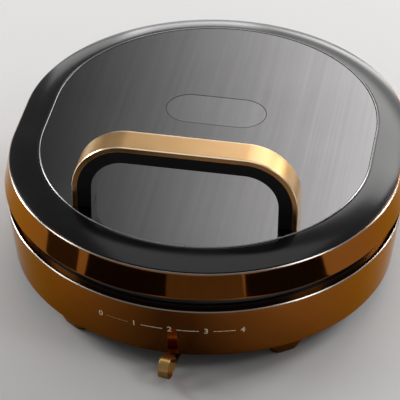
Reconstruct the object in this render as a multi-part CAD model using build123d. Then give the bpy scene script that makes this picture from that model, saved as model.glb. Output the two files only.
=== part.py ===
from build123d import *
import math
import os

# Plan of the body: a stadium of two round ends and short straight sides, round the cooking plate.
# A "radius" below is measured from the centre of the nearer round end.
pan_radius = 150.0
body_margin = 20.0
end_offset = 26.0

# Heights, from the table up
foot_height = 18.0
base_side_height = 50.0
groove_height = 13.0
lid_side_height = 24.0
rim_rise = 7.0

# Outer shells
shell_wall = 2.5
shell_roll = 2.5
flange_fillet = 2.0
edge_chamfer = 0.8
base_bottom_step = -3.0
base_top_step = 2.6
lid_bottom_step = 4.0
base_flange_width = 10.0

# Clearances, and how far a cutter stands past what it cuts
cut_margin = 1.0
fit_gap = 0.3
seat_gap = 0.2
running_gap = 0.06
seam_gap = 0.4

# Black collars that show in the groove between base and lid
collar_inset = 4.0
collar_step = 1.6
base_collar_height = 6.2
collar_ledge_height = 3.0
collar_chamfer = 0.6
lid_collar_inset = 3.0
lid_collar_plate = 2.5
collar_grooves = 2
collar_groove_depth = 0.8
collar_groove_height = 0.9

# Cooking plates
pan_depth = 25.0
upper_pan_depth = 6.0
pan_draft = 3.4
pan_wall = 3.5
pan_flange_reach = 8.0
pan_corner = 8.0
pan_lip = 1.5
pan_opening_gap = 1.0
upper_corner = 4.0
upper_draft = 1.0
upper_floor_bevel = 2.0

# Heating tubes
element_inset = 46.0
tube_radius = 3.4
tube_rib_width = 3.0
tube_rib_height = 4.0
element_gap_angle = 13.0
element_bend = 9.0
element_leg = 8.0

# Heat shields
shield_thickness = 1.0
shield_setback = 14.5
shield_flare = 5.0
shield_air_gap = 2.2
shield_centre_hole = 22.0
shield_leg_gap = 2.0

# Screw ties of the lower plate through its shield into the cover's pillars
tie_rib_gap = 2.8
tie_angle = 30.0
tie_boss_radius = 4.5
tie_pillar_radius = 5.5
tie_counterbore = 4.0
tie_floor = 1.2

# Brackets that hold the upper plate up in the lid's collar
bracket_angle = 45.0
bracket_width = 10.0
bracket_thickness = 1.2
bracket_inner_reach = 12.0
bracket_outer_reach = 11.5
bracket_step = 2.5
bracket_screw_length = 6.0

# Bottom cover
cover_thickness = 2.5
cover_edge_chamfer = 1.0
vent_length = 26.0
vent_width = 3.0
vent_rows = (48.0, 62.0, 76.0)
vents_per_row = 12

# Feet
foot_angle = 36.5
foot_inset = 19.0
foot_top_length = 46.0
foot_top_width = 26.0
foot_bottom_length = 28.0
foot_bottom_width = 18.0
pad_thickness = 3.0
pad_margin = 1.5
pad_chamfer = 0.6
pad_spigot_radius = 3.0
pad_spigot_length = 5.0

# Thermostat and its lever
thermostat_radius = 13.0
thermostat_plate_radius = 19.0
thermostat_plate = 1.2
thermostat_height = 14.0
tab_length = 8.0
tab_width = 6.3
tab_thickness = 0.8
tab_rise = 3.0
bush_radius = 5.0
bush_length = 5.2
spindle_radius = 3.0
spindle_overlap = 12.0
spindle_chamfer = 0.5
hub_radius = 7.0
hub_height = 4.0
arm_thickness = 1.8
arm_root_width = 18.0
arm_tip_width = 11.0
bead_height = 0.8
slot_setback = 22.2
knob_turn = 10.0
nut_radius = 5.6
nut_height = 2.0
lever_travel = 18.0
rivet_radius = 1.6
rivet_head_radius = 3.0
rivet_head_height = 1.0
rivet_setback = 5.0
rivet_pitch = 7.0

# Curled strip that serves as the lever's knob
strip_width = 8.8
strip_thickness = 1.8
strip_lap = 17.0
curl_radius = 10.2
curl_clearance = 5.6
curl_wall_gap = 4.0
curl_sweep = 308.0
strip_drop_run = 9.5
strip_under_gap = 2.4
strip_bend = 2.4
curl_joint_angle = 40.0
slot_clearance = 1.1

# Power inlet in the flat left side
inlet_width = 30.0
inlet_height = 22.0
inlet_depth = 18.0
inlet_flange = 2.0
inlet_flange_reach = 2.5
inlet_wall = 3.5
inlet_floor = 4.0
inlet_centre_height = 36.0
inlet_corner = 3.0
pin_radius = 2.0
pin_length = 8.0
pin_spacing = 6.5
pin_drop = 3.0
pin_chamfer = 0.5

# Floating hinge at the back
hinge_height = 60.0
hinge_boss_radius = 8.0
hinge_shell_gap = 2.4
shaft_radius = 4.0
float_travel = 10.0
open_angle = 100.0
ear_thickness = 7.0
ear_outer = 29.0
ear_top_wall = 4.0
ear_crown = 7.0
hinge_screw_setback = 8.8
hinge_screw_inset = 5.5
arm_side_gap = 3.0
hinge_arm_thickness = 8.0
hinge_arm_lift = 8.0
hinge_arm_pad_width = 20.0
hinge_arm_pad_length = 26.0
hinge_arm_pad_height = 4.0
hinge_arm_bevel = 5.0
hinge_arm_setback = 10.0
notch_clearance = 0.6
housing_half_width = 51.0
housing_wall = 3.0
housing_floor_height = 33.0
housing_wall_rise = 17.0
housing_back_gap = 1.0
washer_thickness = 1.0
washer_reach = 3.0
clip_thickness = 1.2
clip_groove = 0.6
clip_reach = 2.5
shaft_end = 2.0
shaft_chamfer = 0.6

# Lid top
rim_width = 25.0
rim_wall = 3.0
rim_crown = 1.1
rim_edge = 0.6
rim_lip_depth = 7.0
rim_lip_wall = 2.0
rim_ledge_width = 4.6
rim_boss_depth = 12.0
trim_width = 1.1
trim_stand = 0.2
panel_thickness = 1.4
panel_chamfer = 0.3
backing_thickness = 3.0
backing_rib_height = 5.0
backing_rib_width = 2.0
backing_rib_pitch = 40.0
backing_rib_setback = 6.0

# Pill-shaped badge plate, left bare
badge_length = 89.0
badge_width = 44.0
badge_centre = 31.0
badge_thickness = 1.0
badge_gap = 0.45
badge_sink = 0.1

# Arched handle: a metal strap round a black core
handle_half_width = 94.5
handle_height = 64.5
handle_corner = 45.0
handle_depth = 25.3
handle_edge_setback = 1.1
strap_thickness = 4.6
strap_bevel = 0.9
core_thickness = 11.7
core_setback = 0.8
core_rounding = 2.5

# Screws
screw_radius = 2.0
screw_head_radius = 3.8
screw_head_height = 2.4
screw_end_gap = 0.6
screw_head_chamfer = 0.8
boss_wall = 3.0
handle_screw_length = 14.0
handle_screw_spread = 6.0
lid_screw_angles = (28.0, 75.0)
lid_screw_inset = 8.5
lid_screw_grip = 8.0
collar_screw_angles = (20.0, 62.0)
collar_screw_inset = 6.4
collar_screw_grip = 4.8

# Fuse and terminals under the lower plate
fuse_radius = 3.5
fuse_length = 26.0
fuse_place = (40.0, 62.0)
fuse_lead_radius = 0.8
fuse_lead_length = 8.0
clip_strap = 0.8
clip_width = 8.0
clip_tab = 7.0
block_length = 42.0
block_width = 16.0
block_height = 12.0
block_place = (-62.0, 96.0)
block_ways = 3
way_width = 7.0
way_height = 5.0
way_floor = 4.0
way_screw_radius = 2.6
insert_wall = 1.7
insert_length = 12.0
cutout_radius = 11.0
cutout_height = 9.0
cutout_flange = 1.2
cutout_ear = 7.0
cutout_tab_pitch = 8.8

# Heights that follow from the values above
z_shell_bottom = foot_height
z_base_top = z_shell_bottom + base_side_height
z_lid_bottom = z_base_top + groove_height
z_lid_edge = z_lid_bottom + lid_side_height
z_panel = z_lid_edge + rim_rise
z_ledge = z_base_top + collar_ledge_height
z_seam = z_base_top + base_collar_height
z_lid_seam = z_seam + seam_gap
z_pan_floor = z_seam - pan_depth
z_pan_bottom = z_pan_floor - pan_wall
z_upper_flange = z_lid_seam + base_collar_height - collar_ledge_height
z_upper_floor = z_lid_seam + upper_pan_depth
z_upper_back = z_upper_floor + pan_wall
z_collar_top = z_lid_bottom + lid_collar_plate
z_cover_bottom = z_shell_bottom - cover_thickness

# Height of a quarter circle's arc over its chord, as a share of the circle's radius
quarter_bow = 1 - math.sqrt(0.5)

# Radii that follow
end_radius = pan_radius + body_margin
base_bottom_radius = end_radius + base_bottom_step
base_top_radius = end_radius + base_top_step
lid_bottom_radius = end_radius + lid_bottom_step
pan_foot = pan_radius - pan_draft
flange_radius = pan_radius + pan_flange_reach
pan_outer = pan_radius + pan_wall
shield_radius = pan_outer - shield_setback
element_radius = pan_radius - element_inset
tie_radius = element_radius - tube_radius - fit_gap - tube_rib_width - tie_rib_gap - tie_boss_radius
collar_radius = end_radius - collar_inset
lid_collar_radius = end_radius - lid_collar_inset
cover_radius = base_bottom_radius - shell_wall - fit_gap
rim_outer = end_radius - edge_chamfer - rim_edge
rim_inner = rim_outer - rim_width
panel_radius = rim_inner - trim_width - seat_gap
ledge_radius = rim_inner - rim_ledge_width

# Hinge and lever places that follow
arm_inner = ear_outer + arm_side_gap
hinge_y = (end_offset + math.sqrt(base_top_radius ** 2 - arm_inner ** 2)
           + hinge_shell_gap + hinge_boss_radius)
housing_back = hinge_y + hinge_boss_radius + housing_back_gap + housing_wall
curl_y = -(end_offset + base_bottom_radius + curl_wall_gap + curl_radius)
curl_z = curl_clearance + curl_radius
z_thermostat_top = z_pan_bottom - seat_gap
z_thermostat_bottom = z_thermostat_top - thermostat_plate - thermostat_height
z_bush_bottom = z_thermostat_bottom - bush_length
z_hub_top = z_bush_bottom - fit_gap
z_hub_bottom = z_hub_top - hub_height
z_arm_top = z_hub_bottom + arm_thickness
z_strip = z_arm_top + strip_thickness / 2
arm_reach = end_offset + cover_radius - slot_setback
z_strip_low = z_cover_bottom - strip_under_gap - strip_thickness / 2
drop_start = arm_reach + strip_bend
wall_lean = math.degrees(math.atan2(base_top_radius - base_bottom_radius, base_side_height))


def stadium(radius):
    """Plan outline at the given radius."""
    return SlotCenterToCenter(2 * end_offset, 2 * radius, rotation=90)


def plate(radius, low, high):
    """Flat plate of the body's plan between two heights."""
    return extrude(Plane.XY.offset(low) * stadium(radius), amount=high - low)


def section(*corners):
    """Face in the XZ plane through (radius, height[, bow]); bow curves the side that starts there."""
    edges = []
    for start, end in zip(corners, corners[1:] + corners[:1]):
        a = Vector(start[0], 0, start[1])
        b = Vector(end[0], 0, end[1])
        bow = start[2] if len(start) == 3 else 0
        if bow:
            middle = (a + b) / 2 + (b - a).normalized().cross(Vector(0, 1, 0)) * bow
            edges.append(ThreePointArc(a, middle, b))
        else:
            edges.append(Line(a, b))
    return make_face(edges)


def ring(face):
    """Carries a section round the stadium: a half turn at each end and two straight sides."""
    profile = Pos(0, end_offset, 0) * face
    back = revolve(profile, Axis((0, end_offset, 0), (0, 0, 1)), 180)
    side = extrude(profile, amount=2 * end_offset, dir=(0, -1, 0))
    front = mirror(back, Plane.XZ)
    return back + side + front + mirror(side, Plane.YZ)


def turned(face):
    """Full turn of a section about the vertical axis through the middle."""
    return revolve(face, Axis.Z, 360)


def disc(radius, low, high, x=0.0, y=0.0):
    """Upright cylinder between two heights."""
    return Pos(x, y, (low + high) / 2) * Cylinder(radius, high - low)


def block(x_range, y_range, z_range):
    """Box between two values on each axis."""
    spans = (x_range, y_range, z_range)
    size = [high - low for low, high in spans]
    centre = [(high + low) / 2 for low, high in spans]
    return Pos(*centre) * Box(*size)


def end_point(radius, angle):
    """Plan point at a radius from the back end's centre, angle measured from straight back."""
    a = math.radians(angle)
    return radius * math.sin(a), end_offset + radius * math.cos(a)


def base_radius(height):
    """Outer radius of the base's sloping side at a height."""
    share = (height - z_shell_bottom) / base_side_height
    return base_bottom_radius + (base_top_radius - base_bottom_radius) * share


def lid_radius(height):
    """Outer radius of the lid's sloping side at a height."""
    share = (z_lid_edge - height) / lid_side_height
    return end_radius + (lid_bottom_radius - end_radius) * share


def back_face(radius, x):
    """Y of the back wall of a given radius at a distance x from the middle."""
    return end_offset + math.sqrt(radius ** 2 - x ** 2)


def inlet_place():
    """Frame on the base's flat left side at the inlet, X pointing inwards along the wall's lean."""
    return Pos(-base_radius(inlet_centre_height), 0, inlet_centre_height) * Rot(0, -wall_lean, 0)


def hinge_screw_points():
    """Centres, in X and Z, of the screws that hold the hinge housing to the shell."""
    x = ear_outer - ear_thickness - hinge_screw_setback
    low = housing_floor_height + housing_wall + screw_head_radius * 2
    high = z_base_top - shell_wall - hinge_screw_inset
    return [(side * x, z) for side in (-1, 1) for z in (low, high)]


def base_shell():
    """Sloping side wall, rolled in at the bottom, with an inward flange at the top for the collar."""
    top = base_top_radius
    wall = section(
        (base_bottom_radius - shell_roll, z_shell_bottom, -shell_roll * quarter_bow),
        (base_bottom_radius, z_shell_bottom + shell_roll),
        (top, z_base_top - edge_chamfer),
        (top - edge_chamfer, z_base_top),
        (end_radius - base_flange_width, z_base_top),
        (end_radius - base_flange_width, z_base_top - shell_wall),
        (top - shell_wall - flange_fillet, z_base_top - shell_wall),
        (top - shell_wall, z_base_top - shell_wall - flange_fillet),
        (base_bottom_radius - shell_wall, z_shell_bottom + shell_roll),
    )
    shell = ring(wall)
    reach = 6 * shell_wall
    shell -= inlet_place() * Box(reach, inlet_width + 2 * fit_gap, inlet_height + 2 * fit_gap)
    for x, z in hinge_screw_points():
        hole = Rot(90, 0, 0) * Cylinder(screw_radius + seat_gap, reach)
        shell -= Pos(x, back_face(base_radius(z), x), z) * hole
    for x, y in collar_screw_points():
        shell -= disc(screw_radius + seat_gap, z_base_top - 2 * shell_wall, z_base_top + cut_margin, x, y)
    return shell


def collar_screw_points():
    """Plan places of the screws that join the shell's flange to the collar."""
    return edge_points(end_radius - collar_screw_inset, collar_screw_angles)


def edge_points(radius, angles):
    """Points at a radius from the round ends, at angles from the middle plane, in all four quarters."""
    points = []
    for angle in angles:
        x, y = end_point(radius, angle)
        points += [(x, y), (-x, y), (x, -y), (-x, -y)]
    return points


def collar_screws():
    """Screws from under the shell's flange up into the collar."""
    seat = z_base_top - shell_wall
    length = shell_wall + collar_screw_grip
    return Compound(children=[screw_up(x, y, seat, length) for x, y in collar_screw_points()])


def base_collar():
    """Black ring between the shell and the round plate, stepped on its outer edge."""
    body = plate(collar_radius + collar_step, z_base_top, z_ledge)
    upper = plate(collar_radius, z_ledge, z_seam)
    body += chamfer(upper.edges().group_by(Axis.Z)[-1], collar_chamfer)
    body -= disc(pan_outer + pan_opening_gap, z_base_top - cut_margin, z_seam + cut_margin)
    body -= disc(flange_radius + fit_gap, z_ledge, z_seam + cut_margin)
    for x, y in collar_screw_points():
        depth = collar_screw_grip + seat_gap
        body -= disc(screw_radius, z_base_top - cut_margin, z_base_top + depth, x, y)
    return body


def tube_ribs(low, high):
    """The pair of cast ribs that hold the heating tube from both sides."""
    inner = element_radius - tube_radius - fit_gap
    outer = element_radius + tube_radius + fit_gap
    ribs = disc(inner, low, high) - disc(inner - tube_rib_width, low, high)
    ribs += disc(outer + tube_rib_width, low, high) - disc(outer, low, high)
    half = element_bend + element_radius * math.sin(math.radians(element_gap_angle))
    gap = block((-half, half), (0, element_radius * 2), (low, high))
    return ribs - gap


def shield_levels(z_back, up):
    """Near and far face of the heat shield behind a plate's back."""
    near = z_back + up * (2 * tube_radius + seat_gap + shield_air_gap)
    return near, near + up * shield_thickness


def tie_points():
    """Plan places of the four bosses behind each plate."""
    x = tie_radius * math.cos(math.radians(tie_angle))
    y = tie_radius * math.sin(math.radians(tie_angle))
    return [(x, y), (-x, y), (-x, -y), (x, -y)]


def with_bosses(body, z_back, up):
    """Adds the bored bosses that the heat shield seats on to the back of a plate."""
    near, far = shield_levels(z_back, up)
    for x, y in tie_points():
        low, high = sorted((z_back - up * cut_margin, near))
        body += disc(tie_boss_radius, low, high, x, y)
        low, high = sorted((z_back + up * tie_floor, far))
        body -= disc(screw_radius, low, high, x, y)
    return body


def lower_pan():
    """Die-cast dish with a drafted wall, a flat flange, bosses and ribs for the heating tube."""
    dish = turned(section(
        (0, z_pan_bottom),
        (pan_foot - pan_corner, z_pan_bottom, -(pan_corner + pan_wall) * quarter_bow),
        (pan_foot + pan_wall, z_pan_floor + pan_corner),
        (pan_outer, z_ledge),
        (flange_radius, z_ledge),
        (flange_radius, z_seam),
        (pan_radius + pan_lip, z_seam),
        (pan_radius, z_seam - pan_lip),
        (pan_foot, z_pan_floor + pan_corner, pan_corner * quarter_bow),
        (pan_foot - pan_corner, z_pan_floor),
        (0, z_pan_floor),
    ))
    dish += tube_ribs(z_pan_bottom - tube_rib_height, z_pan_bottom)
    return with_bosses(dish, z_pan_bottom, -1)


def upper_pan():
    """Shallow plate that faces down from the lid, with the same bosses and ribs on its back."""
    body = turned(section(
        (0, z_upper_back),
        (pan_outer - upper_corner, z_upper_back, upper_corner * quarter_bow),
        (pan_outer, z_upper_back - upper_corner),
        (pan_outer, z_upper_flange),
        (flange_radius, z_upper_flange),
        (flange_radius, z_lid_seam),
        (pan_radius + pan_lip, z_lid_seam),
        (pan_radius, z_lid_seam + pan_lip),
        (pan_radius - upper_draft, z_upper_floor - upper_floor_bevel),
        (pan_radius - upper_draft - upper_floor_bevel, z_upper_floor),
        (0, z_upper_floor),
    ))
    body += tube_ribs(z_upper_back, z_upper_back + tube_rib_height)
    body = with_bosses(body, z_upper_back, 1)
    for angle in bracket_angles():
        x, y = polar(bracket_screw_radii()[0], angle)
        body -= disc(screw_radius, z_upper_floor + tie_floor, z_upper_back + cut_margin, x, y)
    return body


def polar(radius, angle):
    """Plan point at a radius and an angle from the middle of the plate."""
    return radius * math.cos(math.radians(angle)), radius * math.sin(math.radians(angle))


def bracket_angles():
    """Directions of the four brackets."""
    return [bracket_angle, 180 - bracket_angle, 180 + bracket_angle, -bracket_angle]


def bracket_screw_radii():
    """Distances of a bracket's two screws from the middle of the plate."""
    edge = screw_head_radius + seat_gap
    return pan_outer - bracket_inner_reach + edge, pan_outer + bracket_outer_reach - edge


def pan_brackets():
    """Four stepped straps from the lid's collar on to the back of the upper plate."""
    inner = pan_outer - bracket_inner_reach
    outer = pan_outer + bracket_outer_reach
    step_in = pan_outer - bracket_step
    step_out = pan_outer + pan_opening_gap
    low = z_collar_top
    back = z_upper_back
    t = bracket_thickness
    strap = extrude(section(
        (inner, back),
        (step_in, back),
        (step_out, low),
        (outer, low),
        (outer, low + t),
        (step_out, low + t),
        (step_in, back + t),
        (inner, back + t),
    ), amount=bracket_width / 2, both=True)
    for radius in bracket_screw_radii():
        strap -= disc(screw_radius + seat_gap, min(low, back) - cut_margin, max(low, back) + 2 * t, radius, 0)
    return Compound(children=[Rot(0, 0, angle) * strap for angle in bracket_angles()])


def bracket_screws():
    """Two screws in each bracket, a short one into the plate and one into the collar."""
    near, far = bracket_screw_radii()
    screws = []
    for angle in bracket_angles():
        x, y = polar(near, angle)
        seat = z_upper_back + bracket_thickness
        screws.append(screw_down(x, y, seat, seat - z_upper_floor - tie_floor - seat_gap))
        x, y = polar(far, angle)
        screws.append(screw_down(x, y, z_collar_top + bracket_thickness, bracket_screw_length))
    return Compound(children=screws)


def tie_screws():
    """Long screws from the cover's pillars through the shield into the lower plate."""
    seat = z_shell_bottom + tie_counterbore
    length = z_pan_bottom - tie_floor - seat_gap - seat
    return Compound(children=[screw_up(x, y, seat, length) for x, y in tie_points()])


def shield_screws():
    """Short screws that hold the upper shield on the bosses of its plate."""
    near, far = shield_levels(z_upper_back, 1)
    length = far - z_upper_back - tie_floor - seat_gap
    return Compound(children=[screw_down(x, y, far, length) for x, y in tie_points()])


def heating_tube(z_back, up):
    """Open ring of sheathed tube with two ends bent away from the plate, above it or below it."""
    z = z_back + up * (tube_radius + seat_gap)
    start = 90 + element_gap_angle
    circle = Plane.XZ * Pos(element_radius, z) * Circle(tube_radius)
    tube = Rot(0, 0, start) * revolve(circle, Axis.Z, 360 - 2 * element_gap_angle)
    for side in (-1, 1):
        angle = math.radians(90 + side * element_gap_angle)
        x = element_radius * math.cos(angle)
        y = element_radius * math.sin(angle)
        heading = math.degrees(angle) - side * 90
        place = Pos(x, y, z) * Rot(0, 0, heading)
        mouth = Plane.YZ * Circle(tube_radius)
        turn = Axis((0, 0, up * element_bend), (0, -up, 0))
        bend = revolve(mouth, turn, 90)
        leg = Pos(element_bend, 0, up * (element_bend + element_leg / 2)) * Cylinder(tube_radius, element_leg)
        tube += place * (bend + leg)
    return tube


def leg_points():
    """Plan places of the heating tube's two upright ends."""
    points = []
    for side in (-1, 1):
        angle = math.radians(90 + side * element_gap_angle)
        heading = angle - side * math.pi / 2
        x = element_radius * math.cos(angle) + element_bend * math.cos(heading)
        y = element_radius * math.sin(angle) + element_bend * math.sin(heading)
        points.append((x, y))
    return points


def heat_shield(z_back, up):
    """Thin pressed tray behind the heating tube, seated on the plate's bosses."""
    near, far = shield_levels(z_back, up)
    rim = z_back + up * fit_gap
    inner = shield_radius - shield_flare
    tray = turned(section(
        (shield_centre_hole, near),
        (inner - shield_thickness, near),
        (shield_radius - shield_thickness, rim),
        (shield_radius, rim),
        (inner, far),
        (shield_centre_hole, far),
    ))
    low, high = sorted((near - up * cut_margin, far + up * cut_margin))
    for x, y in leg_points():
        tray -= disc(tube_radius + shield_leg_gap, low, high, x, y)
    for x, y in tie_points():
        tray -= disc(screw_radius + fit_gap, low, high, x, y)
    return tray


def bottom_cover():
    """Flat cover with vent slots, pillars for the tie screws and the curved slot of the lever."""
    cover = plate(cover_radius, z_cover_bottom, z_shell_bottom)
    cover = chamfer(cover.edges().group_by(Axis.Z)[0], cover_edge_chamfer)
    middle = (z_cover_bottom + z_shell_bottom) / 2
    for row in vent_rows:
        for i in range(vents_per_row):
            turn = 360 / vents_per_row * (i + 0.5)
            slot = SlotOverall(vent_length * row / vent_rows[-1], vent_width)
            bar = extrude(slot, amount=cover_thickness, both=True)
            cover -= Rot(0, 0, turn) * Pos(0, row, middle) * bar
    pillar_top = shield_levels(z_pan_bottom, -1)[1]
    below = z_cover_bottom - cut_margin
    for x, y in tie_points():
        cover += disc(tie_pillar_radius, z_shell_bottom, pillar_top, x, y)
        cover -= disc(screw_head_radius + fit_gap, below, z_shell_bottom + tie_counterbore, x, y)
        cover -= disc(screw_radius + seat_gap, below, pillar_top + cut_margin, x, y)
    for x, y in foot_points():
        cover -= disc(screw_radius + seat_gap, below, z_shell_bottom + cut_margin, x, y)
    return cover - lever_slot()


def tip_point(x, y):
    """Plan point of the lever's end after its turn about the curl."""
    a = math.radians(-knob_turn)
    run = y - curl_y
    return x * math.cos(a) - run * math.sin(a), curl_y + x * math.sin(a) + run * math.cos(a)


def lever_slot():
    """Cutter for the curved slot that the lever's strip sweeps through, from the strip's own corners."""
    lean = strip_drop_run / (z_strip - z_strip_low)
    half = strip_thickness / 2 * math.hypot(1, lean)
    near = drop_start + (z_strip - z_shell_bottom) * lean - half
    far = drop_start + (z_strip - z_cover_bottom) * lean + half
    corners = [tip_point(side * strip_width / 2, -y) for side in (-1, 1) for y in (near, far)]
    radii = [math.hypot(x, y) for x, y in corners]
    turns = [math.degrees(math.atan2(x, -y)) for x, y in corners]
    low = min(radii) - slot_clearance
    high = max(radii) + slot_clearance
    margin = math.degrees(slot_clearance / low)
    first = min(turns) - lever_travel - margin
    last = max(turns) + lever_travel + margin
    profile = Plane.XZ * Pos((low + high) / 2, z_shell_bottom) * Rectangle(high - low, 4 * cover_thickness)
    return Rot(0, 0, first - 90) * revolve(profile, Axis.Z, last - first)


def foot_points():
    """Plan places of the four feet."""
    x, y = end_point(base_bottom_radius - foot_inset, foot_angle)
    return [(x, y), (-x, y), (x, -y), (-x, -y)]


def foot_heading(x, y):
    """Turn that lays a foot's long side along the body's edge."""
    return math.degrees(math.atan2(y - math.copysign(end_offset, y), x)) - 90


def foot_posts():
    """Four tapered legs under the cover, hollow for the pads' spigots and the screws."""
    posts = []
    for x, y in foot_points():
        place = Pos(x, y, 0) * Rot(0, 0, foot_heading(x, y))
        top = Plane.XY.offset(z_cover_bottom) * SlotOverall(foot_top_length, foot_top_width)
        bottom = Plane.XY.offset(pad_thickness) * SlotOverall(foot_bottom_length, foot_bottom_width)
        post = place * loft([bottom, top])
        post -= disc(pad_spigot_radius + fit_gap, pad_thickness, pad_thickness + pad_spigot_length + fit_gap, x, y)
        post -= disc(screw_radius, z_cover_bottom - screw_radius * 2, z_cover_bottom, x, y)
        posts.append(post)
    return Compound(children=posts)


def rubber_feet():
    """Four pads, each with a spigot that plugs into its leg."""
    pads = []
    for x, y in foot_points():
        place = Pos(x, y, 0) * Rot(0, 0, foot_heading(x, y))
        outline = SlotOverall(foot_bottom_length - 2 * pad_margin, foot_bottom_width - 2 * pad_margin)
        pad = extrude(outline, amount=pad_thickness)
        pad = chamfer(pad.edges().group_by(Axis.Z)[0], pad_chamfer)
        pads.append(place * pad + disc(pad_spigot_radius, pad_thickness, pad_thickness + pad_spigot_length, x, y))
    return Compound(children=pads)


def thermostat():
    """Fixed thermostat: a seat plate, a ceramic body, a threaded bush and two tabs."""
    body = disc(thermostat_plate_radius, z_thermostat_top - thermostat_plate, z_thermostat_top)
    body += disc(thermostat_radius, z_thermostat_bottom, z_thermostat_top - thermostat_plate)
    body += disc(bush_radius, z_bush_bottom, z_thermostat_bottom)
    tab_z = z_thermostat_bottom + tab_rise
    reach = thermostat_radius + tab_length
    body += block((-reach, reach), (-tab_width / 2, tab_width / 2), (tab_z, tab_z + tab_thickness))
    top = z_bush_bottom + spindle_overlap
    return body - disc(spindle_radius + running_gap, z_bush_bottom - cut_margin, top + seat_gap)


def thermostat_spindle():
    """Turning spindle that carries the lever below the bush."""
    top = z_bush_bottom + spindle_overlap
    bottom = z_hub_bottom - nut_height
    spindle = disc(spindle_radius, bottom, top)
    return chamfer(spindle.edges().group_by(Axis.Z)[-1], spindle_chamfer)


def spindle_nut():
    """Hexagonal nut under the lever arm."""
    low = z_hub_bottom - nut_height
    nut = extrude(Plane.XY.offset(low) * RegularPolygon(nut_radius, 6), amount=nut_height)
    return nut - disc(spindle_radius + running_gap, low - cut_margin, z_hub_bottom + cut_margin)


def lever_arm():
    """Flat steel arm from the spindle to the front, cranked to the strip's line, with a hub and a bead."""
    start = -(arm_reach - strip_lap)
    half = arm_tip_width / 2
    outline = make_face(Polyline(
        (-arm_root_width / 2, 0),
        tip_point(-half, start),
        tip_point(-half, -arm_reach),
        tip_point(half, -arm_reach),
        tip_point(half, start),
        (arm_root_width / 2, 0),
        close=True,
    ))
    outline += Circle(arm_root_width / 2)
    arm = extrude(Plane.XY.offset(z_hub_bottom) * outline, amount=arm_thickness)
    arm += disc(hub_radius, z_hub_bottom, z_hub_top)
    x, y = tip_point(0, start)
    span = math.hypot(x, y)
    bead_start = 2 * hub_radius
    bead_end = span - arm_tip_width
    bead = SlotOverall(bead_end - bead_start, arm_tip_width / 3)
    place = Rot(0, 0, math.degrees(math.atan2(y, x))) * Pos((bead_start + bead_end) / 2, 0, z_arm_top)
    arm += extrude(place * bead, amount=bead_height)
    arm -= disc(spindle_radius + running_gap, z_hub_bottom - cut_margin, z_hub_top + cut_margin)
    for x, y in rivet_points():
        arm -= disc(rivet_radius + running_gap, z_hub_bottom - cut_margin, z_arm_top + cut_margin, x, y)
    return arm


def rivet_points():
    """Plan places of the two rivets that join the strip to the arm."""
    first = -(arm_reach - rivet_setback)
    return [tip_point(0, first), tip_point(0, first + rivet_pitch)]


def lever_knob():
    """Strip that laps the arm, drops through the slot, runs forward, bends down and rolls into a curl."""
    middle_radius = curl_radius - strip_thickness / 2

    def on_curl(angle):
        a = math.radians(angle)
        return (0, curl_y + middle_radius * math.cos(a), curl_z + middle_radius * math.sin(a))

    touch = on_curl(-curl_joint_angle)
    knee_y = touch[1] + (z_strip_low - touch[2]) * math.tan(math.radians(curl_joint_angle))
    lap_start = -(arm_reach - strip_lap)
    lead = FilletPolyline(
        (0, lap_start, z_strip),
        (0, -drop_start, z_strip),
        (0, -(drop_start + strip_drop_run), z_strip_low),
        (0, knee_y, z_strip_low),
        touch,
        radius=strip_bend,
    )
    middle = -curl_joint_angle - curl_sweep / 2
    curl = ThreePointArc(touch, on_curl(middle), on_curl(-curl_joint_angle - curl_sweep))
    path = Wire(list(lead.edges()) + [curl])
    start = Plane((0, lap_start, z_strip), x_dir=(1, 0, 0), z_dir=(0, -1, 0))
    strip = sweep(start * Rectangle(strip_width, strip_thickness), path=path)
    strip = Pos(0, curl_y, 0) * Rot(0, 0, -knob_turn) * Pos(0, -curl_y, 0) * strip
    for x, y in rivet_points():
        strip -= disc(rivet_radius + running_gap, z_arm_top - cut_margin, z_strip + strip_thickness, x, y)
    return strip


def lever_rivets():
    """Two rivets with a head on each side of the arm and strip."""
    top = z_strip + strip_thickness / 2
    rivets = []
    for x, y in rivet_points():
        rivet = disc(rivet_radius, z_hub_bottom, top, x, y)
        rivet += disc(rivet_head_radius, top, top + rivet_head_height, x, y)
        rivet += disc(rivet_head_radius, z_hub_bottom - rivet_head_height, z_hub_bottom, x, y)
        rivets.append(rivet)
    return Compound(children=rivets)


def power_inlet():
    """Socket body set in the flat left side, open to the left, with a thin flange."""
    half_w = inlet_width / 2
    half_h = inlet_height / 2
    body = block((0, inlet_depth), (-half_w, half_w), (-half_h, half_h))
    lip = inlet_flange_reach
    flange = block((-inlet_flange, 0), (-half_w - lip, half_w + lip), (-half_h - lip, half_h + lip))
    flange = fillet(flange.edges().filter_by(Axis.X), inlet_corner)
    recess = block(
        (-2 * inlet_flange, inlet_depth - inlet_floor),
        (inlet_wall - half_w, half_w - inlet_wall),
        (inlet_wall - half_h, half_h - inlet_wall),
    )
    recess = fillet(recess.edges().filter_by(Axis.X), inlet_corner)
    return inlet_place() * (body + flange - recess)


def inlet_pins():
    """Three round pins that stand on the floor of the socket."""
    middle = inlet_depth - inlet_floor - pin_length / 2
    pins = []
    for y, z in [(-pin_spacing, -pin_drop / 2), (0, pin_drop), (pin_spacing, -pin_drop / 2)]:
        pin = Rot(0, 90, 0) * Cylinder(pin_radius, pin_length)
        pin = chamfer(pin.edges().group_by(Axis.X)[0], pin_chamfer)
        pins.append(inlet_place() * Pos(middle, y, z) * pin)
    return Compound(children=pins)


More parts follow.
